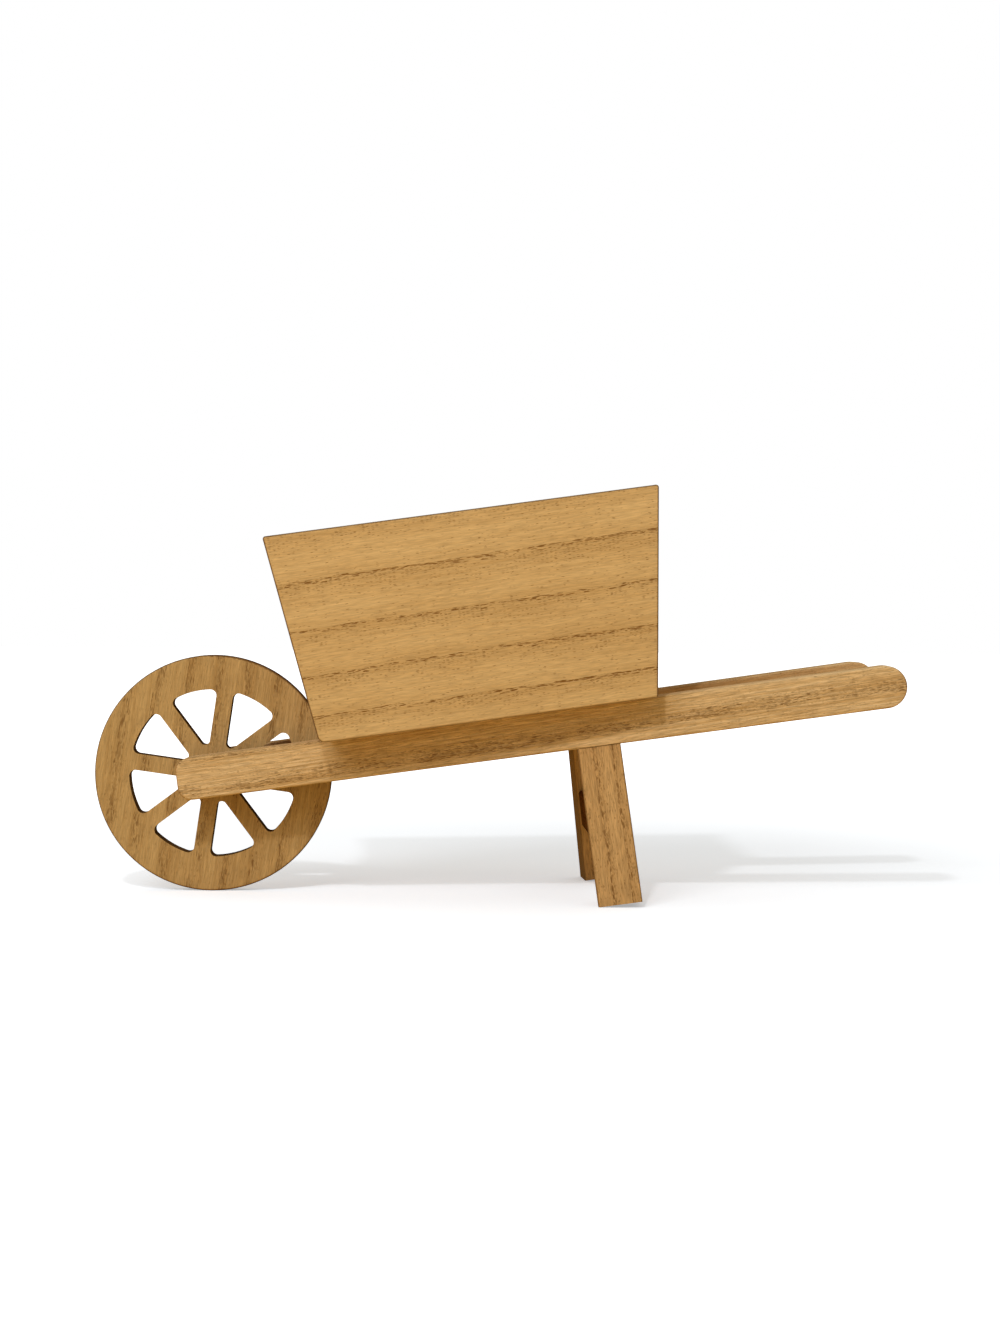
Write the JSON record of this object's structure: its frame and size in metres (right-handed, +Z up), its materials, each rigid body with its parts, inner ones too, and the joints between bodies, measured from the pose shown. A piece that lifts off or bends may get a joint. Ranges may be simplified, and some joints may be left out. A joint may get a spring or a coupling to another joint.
{
  "type": "display wheelbarrow",
  "caption": "Small wooden wheelbarrow with an open trapezoid tray on two rising shafts, splayed legs and a spoked disc wheel that turns, for showing goods on a table or stall.",
  "frame": {"origin": "on the floor under the middle of the object, at the bottom centre of its box", "axes": "+X from the wheel to the handles, +Y from the left side to the right as seen from the handles, +Z up"},
  "size_m": [0.3567, 0.1128, 0.1808],
  "materials": {
    "tray_wood": "open-grained light brown wood, thin satin oil",
    "frame_wood": "open-grained light brown wood, thin satin oil",
    "wheel_wood": "open-grained brown wood with darker cut edges, thin satin oil",
    "dowel_wood": "plain beech-like dowel, unfinished",
    "screw_steel": "zinc-plated wood screws"
  },
  "bodies": {
    "chassis": {"left_side_panel": "tray_wood", "right_side_panel": "tray_wood", "front_board": "tray_wood", "rear_board": "tray_wood", "floor_board": "tray_wood", "left_shaft": "frame_wood", "right_shaft": "frame_wood", "left_leg": "frame_wood", "right_leg": "frame_wood", "leg_stretcher": "frame_wood", "axle_dowel": "dowel_wood", "left_wheel_spacer": "dowel_wood", "right_wheel_spacer": "dowel_wood", "front_board_dowels": "dowel_wood", "rear_board_dowels": "dowel_wood", "floor_dowels": "dowel_wood", "leg_dowels": "dowel_wood", "stretcher_dowels": "dowel_wood", "tray_screws": "screw_steel"},
    "wheel": {"spoked_wheel": "wheel_wood"}
  },
  "joints": [
    {"name": "wheel_spin", "type": "hinge", "parent": "chassis", "child": "wheel", "pos_m": [-0.12568, 0, 0.0527], "axis": [0, 1, 0], "continuous": true}
  ]
}
